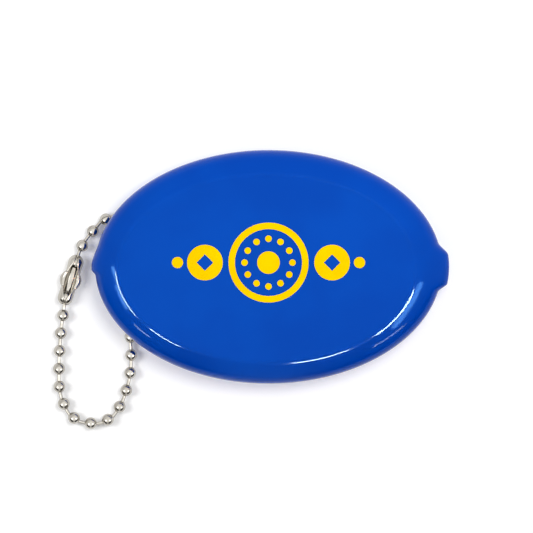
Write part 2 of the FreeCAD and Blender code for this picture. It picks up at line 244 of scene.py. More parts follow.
class StageSettings(bpy.types.PropertyGroup):
    """Camera, floor and light."""
    lens: length("Lens", 500.0, "Focal length of the camera")
    film: length("Film", 36.0, "Width of the camera's film")
    view_width: length("View width", 122.8, "Width of the picture at the rim's height")
    tilt: angle("Tilt", 4.0, "Lean of the camera towards the purse's upper edge")
    aim_x: length("Aim across", -0.46, "Place under the picture's middle, along the purse")
    aim_y: length("Aim up", 0.10, "Place under the picture's middle, across the purse")
    floor: length("Floor", 3000.0, "Size of the floor")
    floor_gap: length("Floor gap", 0.05, "Gap that keeps the floor and the purse's back apart")
    floor_colour: colour("Floor colour", (250, 250, 250), "Colour of the floor")
    floor_glow: strength("Floor glow", 0.10, "Light that the floor adds where it is seen, to show white")
    far_glow: strength("Far glow", 0.8, "The same light far from the purse, where the lamps don't reach")
    glow_start: length("Glow start", 70.0, "Distance from the purse's middle where the glow starts to grow")
    glow_end: length("Glow end", 450.0, "Distance from the purse's middle where the glow is full")
    room_light: strength("Room light", 0.32, "Even light from all round")
    tent_light: strength("Tent light", 1.0, "Brightness of the white tent that shiny pieces show")
    zenith_light: strength("Zenith light", 1.5, "Brightness of the tent right above the purse")
    front_shade: strength("Front shade", 0.01, "Brightness of the dark places low in front of the purse")
    bar_distance: length("Lamp distance", 450.0, "Distance of the bar lamps from the purse")
    bar_strength: strength("Lamp strength", 300.0, "Brightness of the brightest bar lamp")
    softness: share("Softness", 0.42, "Width of a soft lamp as a share of its distance")
    key_distance: length("Key distance", 600.0, "Distance of the key lamp and the chain's lamp")
    key_turn: angle("Key turn", 45, "Direction of the key lamp, from the purse's right end")
    key_rise: angle("Key rise", 68, "Height of the key lamp")
    key_light: strength("Key light", 0.41, "Light that the key lamp gives on the floor")
    purse_distance: length("Purse lamp distance", 190.0, "Distance of the lamp that only the purse has")
    purse_turn: angle("Purse lamp turn", 58, "Direction of the purse's own lamp, from its right end")
    purse_rise: angle("Purse lamp rise", 62, "Height of the purse's own lamp")
    purse_light: strength("Purse light", 0.25, "Light that the purse's own lamp gives on a flat place")
    purse_fill: strength("Purse fill", 0.12, "Light that the purse gets from the chain lamp's side")
    chain_turn: angle("Chain lamp turn", 172, "Direction of the lamp that draws the chain's shadow")
    chain_rise: angle("Chain lamp rise", 47, "Height of the chain's lamp")
    chain_light: strength("Chain light", 0.36, "Light that the chain's lamp gives on the floor")


SETTINGS = {
    "purse_sizes": PurseSizes, "print_sizes": PrintSizes, "chain_sizes": ChainSizes,
    "purse_finishes": Finishes, "purse_stage": StageSettings,
}


def smooth(value):
    """0 below 0, 1 above 1 and a soft step between."""
    value = min(max(value, 0.0), 1.0)
    return value * value * (3 - 2 * value)


def mix(start, end, part):
    """The value that lies a part of the way from start to end."""
    return start + (end - start) * part


def fractions(steps):
    """Even steps from 0 to 1, both ends included."""
    return [step / steps for step in range(steps + 1)]


def corner_curve(start, corner, end, steps=CORNER_STEPS):
    """Points of a rounded corner in a profile."""
    curve = []
    for part in fractions(steps):
        first = [mix(a, b, part) for a, b in zip(start, corner)]
        second = [mix(a, b, part) for a, b in zip(corner, end)]
        curve.append(tuple(mix(a, b, part) for a, b in zip(first, second)))
    return curve


def node(tree, kind, inputs=None, **values):
    """Adds a node. An input is a number, a colour or the socket that feeds it."""
    made = tree.nodes.new(kind)
    for name, value in values.items():
        setattr(made, name, value)
    for name, value in (inputs or {}).items():
        if isinstance(value, bpy.types.NodeSocket):
            tree.links.new(value, made.inputs[name])
        else:
            made.inputs[name].default_value = value
    return made


def result(tree, operation, *values):
    """The result of one step of arithmetic in a node tree."""
    return node(tree, "ShaderNodeMath", dict(enumerate(values)), operation=operation).outputs[0]


def half_of(tree, value):
    """Half a value in a node tree."""
    return result(tree, "MULTIPLY", value, 0.5)


def soft_step(tree, value, low, high):
    """0 below low, 1 above high and a soft step between, in a node tree."""
    return node(tree, "ShaderNodeMapRange", {"Value": value, "From Min": low, "From Max": high},
                interpolation_type="SMOOTHSTEP").outputs[0]


def blended(tree, part, first, second):
    """A value that goes from the first to the second as the part goes from 0 to 1, in a node tree."""
    return node(tree, "ShaderNodeMix", {0: part, 2: first, 3: second}).outputs[0]


def two_tone(tree, part, first, second):
    """The same for colours. Each is a colour or the socket that gives it."""
    tones = [tone if isinstance(tone, bpy.types.NodeSocket) else (*tone, 1) for tone in (first, second)]
    blend = node(tree, "ShaderNodeMix", {0: part, 6: tones[0], 7: tones[1]}, data_type="RGBA")
    return blend.outputs[2]


def add_object(name, data):
    """Puts a mesh, a lamp or a camera into the scene, at the origin."""
    made = bpy.data.objects.new(name, data)
    bpy.context.scene.collection.objects.link(made)
    return made


def new_piece(name, mesh, material, sharp_angle=SHARP_ANGLE):
    """Puts a mesh into the scene as a piece at the origin, with soft shading below the given angle."""
    mesh.materials.clear()
    mesh.materials.append(material)
    for face in mesh.polygons:
        face.use_smooth = True
    mesh.set_sharp_from_angle(angle=math.radians(sharp_angle))
    return add_object(name, mesh)


def join_rows(form, rows, closed=True):
    """Adds the faces between neighbouring rows of corners. A row of one corner is a pole."""
    around = max(len(row) for row in rows)
    for row, following in zip(rows, rows[1:]):
        for step in range(around if closed else around - 1):
            corners = [row[step % len(row)], row[(step + 1) % len(row)],
                       following[(step + 1) % len(following)], following[step % len(following)]]
            form.faces.new(list(dict.fromkeys(corners)))


def fill_mesh(mesh, form):
    """Puts a form into a mesh, with its faces pointing outwards."""
    bmesh.ops.recalc_face_normals(form, faces=form.faces)
    form.to_mesh(mesh)
    form.free()
    return mesh


def loft_mesh(name, loops):
    """A closed mesh through loops of equal length. A loop of one point is a pole, an open end gets a face."""
    form = bmesh.new()
    rows = [[form.verts.new(point) for point in loop] for loop in loops]
    join_rows(form, rows)
    for row in (rows[0], rows[-1]):
        if len(row) > 1:
            form.faces.new(row)
    return fill_mesh(bpy.data.meshes.new(name), form)


def finish_with_modifiers(piece):
    """Makes what the modifiers of a piece give its plain mesh."""
    graph = bpy.context.evaluated_depsgraph_get()
    mesh = bpy.data.meshes.new_from_object(piece.evaluated_get(graph))
    piece.modifiers.clear()
    piece.data = mesh


def hand_over(piece, body, slot, *nodes):
    """Lets a finished piece move with its body and stand for its nodes."""
    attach(piece, body)
    if nodes:
        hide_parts(*nodes)


# Shared marks: where a soft patch starts and where it is full, and what grain and patches count
PATCH_LIMITS = (0.35, 0.65)
GRAIN_SHARE, PATCH_HEIGHT = 0.5, 2.0


def handling_marks():
    """Shader group: soft patches and fine grain that every finish shares, each with its own values."""
    name = "handling_marks"
    if name in bpy.data.node_groups:
        return bpy.data.node_groups[name]
    tree = bpy.data.node_groups.new(name, "ShaderNodeTree")
    face = tree.interface
    for label, default in (("Patches", 60.0), ("Grain", 900.0), ("Low", 0.1), ("High", 0.2)):
        face.new_socket(label, in_out="INPUT", socket_type="NodeSocketFloat").default_value = default
    for label in ("Patch", "Roughness", "Height"):
        face.new_socket(label, in_out="OUTPUT", socket_type="NodeSocketFloat")
    given = node(tree, "NodeGroupInput")
    place = node(tree, "ShaderNodeTexCoord").outputs["Object"]
    patch = node(tree, "ShaderNodeTexNoise", {
        "Vector": place, "Scale": given.outputs["Patches"], "Detail": 3.0, "Roughness": 0.55})
    grain = node(tree, "ShaderNodeTexNoise", {
        "Vector": place, "Scale": given.outputs["Grain"], "Detail": 4.0, "Roughness": 0.6})
    soft_patch = soft_step(tree, patch.outputs[0], *PATCH_LIMITS)
    both = result(tree, "MULTIPLY_ADD", grain.outputs[0], GRAIN_SHARE, soft_patch)
    rough = node(tree, "ShaderNodeMapRange", {
        "Value": both, "From Min": 0.0, "From Max": 1 + GRAIN_SHARE,
        "To Min": given.outputs["Low"], "To Max": given.outputs["High"]})
    height = result(tree, "MULTIPLY_ADD", patch.outputs[0], PATCH_HEIGHT, grain.outputs[0])
    node(tree, "NodeGroupOutput", {"Patch": soft_patch, "Roughness": rough.outputs[0], "Height": height})
    return tree


def new_material(name):
    """A new node material, with its tree and its Principled shader."""
    material = bpy.data.materials.new(name)
    material.use_nodes = True
    tree = material.node_tree
    return material, tree, tree.nodes["Principled BSDF"]


def place_marks(tree, **values):
    """What the shared marks give in a material, with that material's own values."""
    return node(tree, "ShaderNodeGroup", values, node_tree=handling_marks()).outputs


def finish_shader(tree, shader, tone, marks, height, relief, depth):
    """Feeds a shader its colour, the roughness of its marks and a fine relief."""
    bump = node(tree, "ShaderNodeBump", {"Height": height, "Strength": relief, "Distance": depth})
    sources = {"Base Color": tone, "Roughness": marks["Roughness"], "Normal": bump.outputs["Normal"]}
    for label, source in sources.items():
        tree.links.new(source, shader.inputs[label])


def vinyl_material(name):
    """Glossy moulded vinyl: faint cloudy colour, a slightly uneven skin and a soft shine."""
    finishes = bpy.context.scene.purse_finishes
    material, tree, shader = new_material(name)
    gloss = finishes.vinyl_gloss
    marks = place_marks(tree, Patches=38.0, Grain=finishes.grain * 3, Low=gloss * 0.8, High=gloss * 1.5)
    tone = two_tone(tree, marks["Patch"], finishes.vinyl, finishes.vinyl_deep)
    finish_shader(tree, shader, tone, marks, marks["Height"], relief=0.005, depth=0.2 * MM)
    shader.inputs["IOR"].default_value = 1.36
    shader.inputs["Specular Tint"].default_value = (*finishes.vinyl_shine, 1)
    return material


def ink_material(name):
    """Screen-printed ink: thinner in places, duller than the vinyl, with a fine mesh grain."""
    finishes = bpy.context.scene.purse_finishes
    material, tree, shader = new_material(name)
    marks = place_marks(tree, Patches=220.0, Grain=finishes.grain * 12, Low=0.28, High=0.46)
    tone = two_tone(tree, marks["Patch"], finishes.ink, finishes.ink_worn)
    finish_shader(tree, shader, tone, marks, marks["Height"], relief=0.08, depth=0.05 * MM)
    shader.inputs["Specular Tint"].default_value = (*finishes.ink, 1)
    return material


# Seam of a ball's sheet: its place as a share of a turn, where it starts to fade and where it ends on either
# side of that, how deep it lies and its colour
SEAM_PLACE, SEAM_CORE, SEAM_EDGE, SEAM_DEPTH = 0.5, 0.004, 0.014, 6.0
SEAM_COLOUR = (0.12, 0.11, 0.10)


def nickel_material(name, bright, with_seam=False):
    """Bright nickel plate with duller patches and fine scuffs. Balls also show the seam of their sheet."""
    finishes = bpy.context.scene.purse_finishes
    material, tree, shader = new_material(name)
    marks = place_marks(tree, Patches=420.0, Grain=finishes.grain * 20, Low=0.03, High=0.09)
    tone = two_tone(tree, marks["Patch"], bright, finishes.nickel_dull)
    height = marks["Height"]
    if with_seam:
        turn = node(tree, "ShaderNodeAttribute", attribute_name="turn").outputs["Fac"]
        off_seam = result(tree, "ABSOLUTE", result(tree, "SUBTRACT", turn, SEAM_PLACE))
        line = node(tree, "ShaderNodeMapRange", {
            "Value": off_seam, "From Min": SEAM_CORE, "From Max": SEAM_EDGE, "To Min": 1.0, "To Max": 0.0})
        seam = line.outputs[0]
        tone = two_tone(tree, seam, tone, SEAM_COLOUR)
        height = result(tree, "MULTIPLY_ADD", seam, -SEAM_DEPTH, height)
    finish_shader(tree, shader, tone, marks, height, relief=0.05, depth=0.03 * MM)
    shader.inputs["Metallic"].default_value = 1.0
    return material


def material_named(name, make, *values):
    """A material, made the first time that a piece asks for it."""
    return bpy.data.materials.get(name) or make(name, *values)


def vinyl():
    """The purse's vinyl."""
    return material_named(VINYL, vinyl_material)


def vinyl_piece(name, loops):
    """A vinyl piece whose skin runs through loops."""
    return new_piece(name, loft_mesh(name, loops), vinyl())


def border_profile(sizes):
    """The border's upper side from the widest line to the front's edge, as pairs of inset and height."""
    radius = sizes.roll_radius
    profile = []
    for part in fractions(ROLL_STEPS):
        tilt = mix(QUARTER_TURN, sizes.slope, part)
        profile.append((radius * (1 - math.sin(tilt)), sizes.rim_height + radius * math.cos(tilt)))
    stride = sizes.slope_width / SLOPE_STEPS
    for step in range(SLOPE_STEPS):
        tilt = mix(sizes.shoulder, sizes.slope, (1 - (step + 0.5) / SLOPE_STEPS) ** 2)
        inset, height = profile[-1]
        profile.append((inset + stride, height + stride * math.tan(tilt)))
    inset, height = profile[-1]
    radius = sizes.edge_radius
    for part in fractions(EDGE_STEPS)[1:]:
        tilt = mix(sizes.shoulder, sizes.edge_slope, part)
        profile.append((inset + radius * (math.sin(sizes.shoulder) - math.sin(tilt)),
                        height + radius * (math.cos(tilt) - math.cos(sizes.shoulder))))
    return profile


def front_form(sizes):
    """Half length, half width, edge height and rise of the domed front."""
    inset, height = border_profile(sizes)[-1]
    half_length, half_width = sizes.length / 2 - inset, sizes.width / 2 - inset
    return half_length, half_width, height, math.tan(sizes.edge_slope) * half_width / 2


def right_half_length(sizes, inset):
    """Half length of a loop at the end with the nub, where the border is wider."""
    return sizes.length / 2 - inset * (1 + sizes.right_share)


def front_height(sizes, x, y):
    """Height of the domed front over a place on it."""
    half_length, half_width, edge, rise = front_form(sizes)
    return edge + rise * (1 - (x / half_length) ** 2 - (y / half_width) ** 2)


def end_bulge(sizes, name, offset):
    """How far the rim stands out at an offset from the long axis, for the nub or the tab."""
    side = "above" if offset > 0 else "below"
    flat, base = getattr(sizes, f"{name}_flat_{side}"), getattr(sizes, f"{name}_base_{side}")
    return getattr(sizes, f"{name}_reach") * smooth((base - abs(offset)) / (base - flat))


def bulge_weight(sizes, inset):
    """How much of the nub and the tab is left on a loop that lies inside the widest line."""
    return max(1 - inset / sizes.bulge_depth, 0) ** 2


def oval(sizes, half_length, half_width, height, weight=0.0, limit=None, right_length=None):
    """One loop of the purse's skin. Weight brings in the nub and the tab, limit flattens the sides, and
    right_length is the half length at the end with the nub where that differs."""
    loop = []
    for step in range(sizes.steps):
        even = FULL_TURN * step / sizes.steps
        turn = even - END_CROWDING * math.sin(2 * even)
        x, y = half_length * math.cos(turn), half_width * math.sin(turn)
        if limit:
            y = min(max(y, -limit), limit)
        if x > 0:
            x -= (half_length - (right_length or half_length)) * math.cos(turn) ** RIGHT_END_POWER
            x += weight * end_bulge(sizes, "nub", y)
        else:
            x -= weight * end_bulge(sizes, "tab", y)
        loop.append((x, y, height))
    return loop


def inset_oval(sizes, inset, height, weight=0.0, right_length=None):
    """One loop of the skin that lies inside the widest line by an inset."""
    return oval(sizes, sizes.length / 2 - inset, sizes.width / 2 - inset, height, weight,
                right_length=right_length)


def pad_oval(sizes, spread, height):
    """One loop of the skin that is wider than the flat back pad by a spread on each side."""
    return oval(sizes, sizes.pad_length / 2 + spread, sizes.pad_width / 2 + spread, height)


def lip_oval(sizes):
    """Half length and half width of the oval that bounds both lips, before its sides are cut straight."""
    return sizes.pad_length / 2 - sizes.lip_margin, sizes.pad_width / 2 - sizes.lip_margin


def opening_loop(sizes, height):
    """The edge of the opening that the lips fill, at a height."""
    return oval(sizes, *lip_oval(sizes), height, limit=sizes.lip_reach)


def front_loops(sizes):
    """Loops of the front panel's upper side, from its middle to its edge."""
    half_length, half_width, edge, rise = front_form(sizes)
    right = right_half_length(sizes, border_profile(sizes)[-1][0])
    loops = [[(0, 0, edge + rise)]]
    for part in fractions(FRONT_STEPS)[1:]:
        loops.append(oval(sizes, half_length * part, half_width * part, edge + rise * (1 - part ** 2),
                          right_length=right * part))
    return loops


def front_seat(sizes):
    """Loops of the seat under the front panel, from its middle to its edge."""
    loops = front_loops(sizes)
    return [[(x, y, z - sizes.panel) for x, y, z in loop] for loop in (loops[0], loops[-1])]


def border_loops(sizes):
    """Loops of the purse's skin from the front's edge down to its widest line."""
    return [inset_oval(sizes, inset, height, bulge_weight(sizes, inset), right_half_length(sizes, inset))
            for inset, height in reversed(border_profile(sizes))]


def lower_loops(sizes):
    """Loops of the skin from below the widest line to the opening in the back."""
    loops = []
    drop = sizes.rim_height - sizes.underside
    for part in fractions(UNDER_ROLL_STEPS)[1:]:
        tilt = mix(QUARTER_TURN, 0, part)
        inset = sizes.roll_width * (1 - math.sin(tilt))
        height = sizes.rim_height - drop * math.cos(tilt)
        loops.append(inset_oval(sizes, inset, height, bulge_weight(sizes, inset)))
    flare, high, rounding = sizes.pad_flare, sizes.underside, sizes.pad_round
    reach = rounding / math.hypot(flare, high)
    upper_corner = corner_curve(
        (flare + rounding, high), (flare, high), (flare * (1 - reach), high * (1 - reach)))
    foot_corner = corner_curve((flare * reach, high * reach), (0, 0), (-rounding * FOOT_ROUND_SHARE, 0))
    for part in fractions(LEDGE_STEPS)[1:-1]:
        half_length, half_width = (
            mix(whole / 2 - sizes.roll_width, pad / 2 + flare + rounding, part)
            for whole, pad in ((sizes.length, sizes.pad_length), (sizes.width, sizes.pad_width)))
        loops.append(oval(sizes, half_length, half_width, high))
    loops += [pad_oval(sizes, spread, height) for spread, height in upper_corner + foot_corner]
    return loops + [opening_loop(sizes, 0)]


def pocket_loops(sizes):
    """Loops of the skin inside the purse, from the opening up to the middle of the front."""
    wall, drop = sizes.wall, sizes.rim_height - sizes.underside
    edge, ledge = sizes.roll_width + wall, sizes.underside + wall
    roof = front_form(sizes)[2] - wall
    roof_inset = border_profile(sizes)[-1][0] + wall / 2
    return [
        opening_loop(sizes, wall),
        pad_oval(sizes, -wall / 2, wall),
        pad_oval(sizes, sizes.pad_flare - wall / 2, ledge),
        inset_oval(sizes, edge, ledge),
        inset_oval(sizes, wall, sizes.rim_height),
        inset_oval(sizes, edge, sizes.rim_height + drop - wall),
        inset_oval(sizes, roof_inset, roof),
        [(0, 0, roof)],
    ]


class PURSE_OT_shell(bpy.types.Operator):
    """Model the moulded vinyl body with its rim, domed front, end nub, tab and back border"""
    bl_idname = "purse.shell"
    bl_label = "Purse body"

    def execute(self, context):
        sizes = context.scene.purse_sizes
        seat = front_seat(sizes)
        skin = seat + border_loops(sizes) + lower_loops(sizes) + pocket_loops(sizes)
        hand_over(vinyl_piece("purse_skin", skin), "purse", "vinyl", "purse_shell")
        hand_over(vinyl_piece("purse_front", front_loops(sizes) + seat[::-1]), "purse", "vinyl")
        return {"FINISHED"}


def outline(steps, reach, middle=(0, 0)):
    """Points around a middle. Reach gives their distance from it for the parts across and up of a way."""
    points = []
    for step in range(steps):
        turn = FULL_TURN * step / steps
        across, up = math.cos(turn), math.sin(turn)
        radius = reach(across, up)
        points.append((middle[0] + radius * across, middle[1] + radius * up))
    return points


def circle(radius, steps, middle=(0, 0)):
    """Points around a circle."""
    return outline(steps, lambda across, up: radius, middle)


def diamond(reach, steps, middle):
    """Points around a square that stands on its corner."""
    return outline(steps, lambda across, up: reach / (abs(across) + abs(up)), middle)


def lug_outline(radius, top):
    """Outline of the chain lug about its eye: round below and straight-sided up into the border."""
    def reach(across, up):
        return min(radius / max(abs(across), MM), top / up) if up > 0 else radius
    return outline(LUG_STEPS, reach)


class PURSE_OT_lug(bpy.types.Operator):
    """Model the moulded lug on the back that the chain passes through"""
    bl_idname = "purse.lug"
    bl_label = "Chain lug"

    def execute(self, context):
        sizes = context.scene.purse_sizes
        eye = Vector(JOINTS[EYE_JOINT]["pos_m"])
        height = Vector(JOINTS[EYE_BALL_JOINT]["pos_m"]).z
        top = sizes.underside + sizes.lug_sink - height
        eye_radius, half = sizes.lug_eye / 2, sizes.lug_thickness / 2
        outer, inner = lug_outline(eye_radius + sizes.lug_wall, top), circle(eye_radius, LUG_STEPS)
        form = bmesh.new()
        rows = []
        for points, side in ((outer, -half), (outer, half), (inner, half), (inner, -half)):
            rows.append([form.verts.new((eye.x + across, eye.y + side, height + up))
                         for across, up in points])
        join_rows(form, rows + rows[:1])
        piece = new_piece("chain_lug", fill_mesh(bpy.data.meshes.new("chain_lug"), form), vinyl())
        rounding = piece.modifiers.new("round", "BEVEL")
        rounding.width = sizes.lug_round
        rounding.segments = LUG_ROUND_STEPS
        rounding.angle_limit = math.radians(LUG_ROUND_ANGLE)
        finish_with_modifiers(piece)
        hand_over(piece, "purse", "vinyl")
        return {"FINISHED"}


def lip_section(sizes, x, side, outer):
    """One cross-section of a lip, from its hinge side round the slit's edge and back."""
    wall, edge = sizes.wall, sizes.slit / 2
    rounding = min(sizes.slit_round, (outer - edge) * LIP_ROUND_SHARE)
    inner = edge + rounding
    halfway = mix(inner, outer, 0.5)
    section = [(outer, 0), (halfway, 0)]
    section += corner_curve((inner, 0), (edge, 0), (edge, rounding), SLIT_ROUND_STEPS)
    section += corner_curve((edge, wall - rounding), (edge, wall), (inner, wall), SLIT_ROUND_STEPS)
    section += [(halfway, wall), (outer, wall)]
    return [(x, side * across, height) for across, height in section]


class PURSE_OT_lips(bpy.types.Operator):
    """Model the two lips of the slit back, each in two halves"""
    bl_idname = "purse.lips"
    bl_label = "Slit lips"

    def execute(self, context):
        sizes = context.scene.purse_sizes
        half_length, half_width = lip_oval(sizes)
        least = sizes.slit * 2
        for lip, side in LIPS.items():
            for half, way in LIP_HALVES.items():
                sections = []
                for part in fractions(LIP_STEPS):
                    turn = mix(QUARTER_TURN, 0, part)
                    outer = max(min(half_width * math.sin(turn), sizes.lip_reach), least)
                    sections.append(lip_section(sizes, way * half_length * math.cos(turn), side, outer))
                piece = vinyl_piece(f"{lip}_{half}", sections)
                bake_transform(piece)
                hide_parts(lip)
        return {"FINISHED"}


def print_patches(sizes):
    """Outer and inner outline of every patch of ink. A full disc has its middle as the inner outline."""
    steps = sizes.steps

    def disc(radius, place):
        return circle(radius, steps, place), [place]

    patches = [(circle(sizes.ring, steps), circle(sizes.ring - sizes.ring_band, steps)),
               disc(sizes.core, (0, 0))]
    patches += [disc(sizes.dot, place) for place in circle(sizes.dot_circle, sizes.dots)]
    for side in (-1, 1):
        coin = (side * sizes.side_place, 0)
        patches.append((circle(sizes.side_coin, steps, coin), diamond(sizes.side_hole, steps, coin)))
        patches.append(disc(sizes.end_dot, (side * sizes.end_place, 0)))
    return patches


class PURSE_OT_print(bpy.types.Operator):
    """Lay the plain printed coins on the domed front"""
    bl_idname = "purse.print"
    bl_label = "Front print"

    def execute(self, context):
        purse, sizes = context.scene.purse_sizes, context.scene.print_sizes
        form = bmesh.new()

        def row(points, rise):
            made = []
            for x, y in points:
                y += sizes.raise_up
                made.append(form.verts.new((x, y, front_height(purse, x, y) + rise)))
            return made

        for outer, inner in print_patches(sizes):
            rows = [row(points, rise) for points, rise in (
                (inner, -sizes.sink), (outer, -sizes.sink), (outer, sizes.ink), (inner, sizes.ink))]
            if len(inner) > 1:
                rows.append(rows[0])
            join_rows(form, rows)
        mesh = fill_mesh(bpy.data.meshes.new("front_print"), form)
        piece = new_piece("front_print", mesh, material_named(INK, ink_material))
        hand_over(piece, "purse", "vinyl")
        return {"FINISHED"}


def geometry_tree(name, inputs):
    """An empty Geometry Nodes tree with named size inputs, and its input node."""
    tree = bpy.data.node_groups.new(name, "GeometryNodeTree")
    tree.interface.new_socket("Geometry", in_out="INPUT", socket_type="NodeSocketGeometry")
    for label, kind in inputs.items():
        tree.interface.new_socket(label, in_out="INPUT", socket_type=f"NodeSocket{kind}")
    tree.interface.new_socket("Geometry", in_out="OUTPUT", socket_type="NodeSocketGeometry")
    return tree, node(tree, "NodeGroupInput")


def joined(tree, *parts):
    """Several shapes as one, in a Geometry Nodes tree."""
    whole = node(tree, "GeometryNodeJoinGeometry")
    for part in parts:
        tree.links.new(part, whole.inputs[0])
    return whole.outputs[0]


def merged(tree, shape):
    """A shape whose corners at the same place are one, in a Geometry Nodes tree."""
    return node(tree, "GeometryNodeMergeByDistance", {
        "Geometry": shape, "Distance": MERGE_DISTANCE}).outputs[0]


def place_copies(tree, given, shape, material):
    """Ends a tree: a copy of the shape at every point, turned along the point's way."""
    way = node(tree, "GeometryNodeInputNamedAttribute", {"Name": "way"}, data_type="FLOAT_VECTOR")
    turned = node(tree, "FunctionNodeAlignRotationToVector", {"Vector": way.outputs[0]}, axis="Z")
    copies = node(tree, "GeometryNodeInstanceOnPoints", {
        "Points": given.outputs["Geometry"], "Instance": shape, "Rotation": turned.outputs[0]})
    real = node(tree, "GeometryNodeRealizeInstances", {"Geometry": copies.outputs[0]})
    painted = node(tree, "GeometryNodeSetMaterial", {"Geometry": real.outputs[0], "Material": material})
    node(tree, "NodeGroupOutput", {"Geometry": painted.outputs[0]})


def ball_tree(material):
    """Hollow ball with a hole at each end, on every point."""
    tree, given = geometry_tree("chain_ball", {
        "Diameter": "Float", "Hole": "Float", "Wall": "Float", "Around": "Int", "Along": "Int"})
    sheet = node(tree, "GeometryNodeMeshGrid", {
        "Vertices X": given.outputs["Around"], "Vertices Y": given.outputs["Along"]})
    chart = node(tree, "ShaderNodeSeparateXYZ", {0: sheet.outputs["UV Map"]})
    turn = result(tree, "MULTIPLY", chart.outputs["X"], FULL_TURN)
    first = result(tree, "ARCSINE", result(tree, "DIVIDE", given.outputs["Hole"], given.outputs["Diameter"]))
    last = result(tree, "SUBTRACT", math.pi, first)
    fall = node(tree, "ShaderNodeMapRange", {"Value": chart.outputs["Y"], "To Min": first, "To Max": last})
    radius = half_of(tree, given.outputs["Diameter"])
    ring = result(tree, "MULTIPLY", radius, result(tree, "SINE", fall.outputs[0]))
    place = node(tree, "ShaderNodeCombineXYZ", {
        0: result(tree, "MULTIPLY", ring, result(tree, "COSINE", turn)),
        1: result(tree, "MULTIPLY", ring, result(tree, "SINE", turn)),
        2: result(tree, "MULTIPLY", radius, result(tree, "COSINE", fall.outputs[0]))})
    marked = node(tree, "GeometryNodeStoreNamedAttribute", {
        "Geometry": sheet.outputs["Mesh"], "Name": "turn", "Value": chart.outputs["X"]}, data_type="FLOAT")
    bent = node(tree, "GeometryNodeSetPosition", {
        "Geometry": marked.outputs[0], "Position": place.outputs[0]})
    closed = merged(tree, bent.outputs[0])
    inner = node(tree, "GeometryNodeExtrudeMesh", {
        "Mesh": closed, "Offset Scale": given.outputs["Wall"], "Individual": False}, mode="FACES")
    turned = node(tree, "GeometryNodeFlipFaces", {"Mesh": inner.outputs["Mesh"]})
    whole = merged(tree, joined(tree, turned.outputs[0], closed))
    place_copies(tree, given, whole, material)
    return tree


def pin_tree(material):
    """Headed pin of one length on every point."""
    tree, given = geometry_tree("chain_pin", {"Diameter": "Float", "Head": "Float", "Span": "Float"})
    half = half_of(tree, given.outputs["Span"])
    shaft = node(tree, "GeometryNodeMeshCylinder", {
        "Vertices": PIN_STEPS, "Side Segments": PIN_SEGMENTS,
        "Radius": half_of(tree, given.outputs["Diameter"]), "Depth": given.outputs["Span"]})
    parts = [shaft.outputs["Mesh"]]
    for side in (-1.0, 1.0):
        head = node(tree, "GeometryNodeMeshUVSphere", {
            "Segments": HEAD_STEPS, "Rings": HEAD_RINGS, "Radius": half_of(tree, given.outputs["Head"])})
        place = node(tree, "ShaderNodeCombineXYZ", {2: result(tree, "MULTIPLY", half, side)})
        moved = node(tree, "GeometryNodeSetPosition", {
            "Geometry": head.outputs["Mesh"], "Offset": place.outputs[0]})
        parts.append(moved.outputs[0])
    place_copies(tree, given, joined(tree, *parts), material)
    return tree


def copies_piece(name, places, ways, tree, sizes, material):
    """A piece made of the tree's shape at each place, as one plain mesh."""
    mesh = bpy.data.meshes.new(name)
    mesh.from_pydata(places, [], [])
    attribute = mesh.attributes.new("way", "FLOAT_VECTOR", "POINT")
    for index, way in enumerate(ways):
        attribute.data[index].vector = way
    piece = add_object(name, mesh)
    modifier = piece.modifiers.new("copies", "NODES")
    modifier.node_group = tree
    for socket in tree.interface.items_tree:
        if socket.in_out == "INPUT" and socket.name in sizes:
            modifier[socket.identifier] = sizes[socket.name]
    finish_with_modifiers(piece)
    made = piece.data
    bpy.data.objects.remove(piece)
    form = bmesh.new()
    form.from_mesh(made)
    return new_piece(name, fill_mesh(made, form), material, CHAIN_SHARP_ANGLE)


def ball_places():
    """Middle and axis of every ball of the chain, in order, from the joints that they turn on."""
    spins = [JOINTS[name] for name in sorted(JOINTS) if name.startswith("spin_bead")]
    return [(Vector(spin["pos_m"]), Vector(spin["axis"]).normalized()) for spin in spins]


class PURSE_OT_balls(bpy.types.Operator):
    """Model the hollow balls of the chain, each turning on its own pins"""
    bl_idname = "purse.balls"
    bl_label = "Chain balls"

    def execute(self, context):
        sizes, finishes = context.scene.chain_sizes, context.scene.purse_finishes
        material = material_named(BALL_NICKEL, nickel_material, finishes.nickel, True)
        tree = ball_tree(material)
        values = {"Diameter": sizes.ball, "Hole": sizes.ball_hole, "Wall": sizes.ball_wall,
                  "Around": sizes.around, "Along": sizes.along}
        for index, (place, way) in enumerate(ball_places(), 1):
            piece = copies_piece(f"chain_ball_{index:02d}", [place], [way], tree, values, material)
            hand_over(piece, f"ball_{index:02d}", "nickel", f"bead_{index:02d}")
        return {"FINISHED"}


class PURSE_OT_pins(bpy.types.Operator):
    """Model the headed pins between the balls, one piece for each stretch of the chain"""
    bl_idname = "purse.pins"
    bl_label = "Chain pins"

    def execute(self, context):
        sizes, finishes = context.scene.chain_sizes, context.scene.purse_finishes
        material = material_named(PIN_NICKEL, nickel_material, finishes.pin)
        tree = pin_tree(material)
        balls = ball_places()
        reach = (sizes.ball - sizes.ball_wall) / 2
        for body, nodes in BODY_NODES.items():
            links = sorted(name for name in nodes if name.startswith("link_"))
            if not links:
                continue
            places, ways = [], []
            for link in links:
                index = int(link.split("_")[1])
                (first, first_way), (second, second_way) = balls[index - 1], balls[index]
                leaves, enters = first + first_way * reach, second - second_way * reach
                places.append((leaves + enters) / 2)
                ways.append((enters - leaves).normalized())
            span = (second - first).length - sizes.ball + 2 * PIN_DEPTH * sizes.ball_wall
            values = {"Diameter": sizes.pin, "Head": sizes.head, "Span": span}
            piece = copies_piece(f"{body}_pins", places, ways, tree, values, material)
            hand_over(piece, body, "nickel", *links)
        return {"FINISHED"}


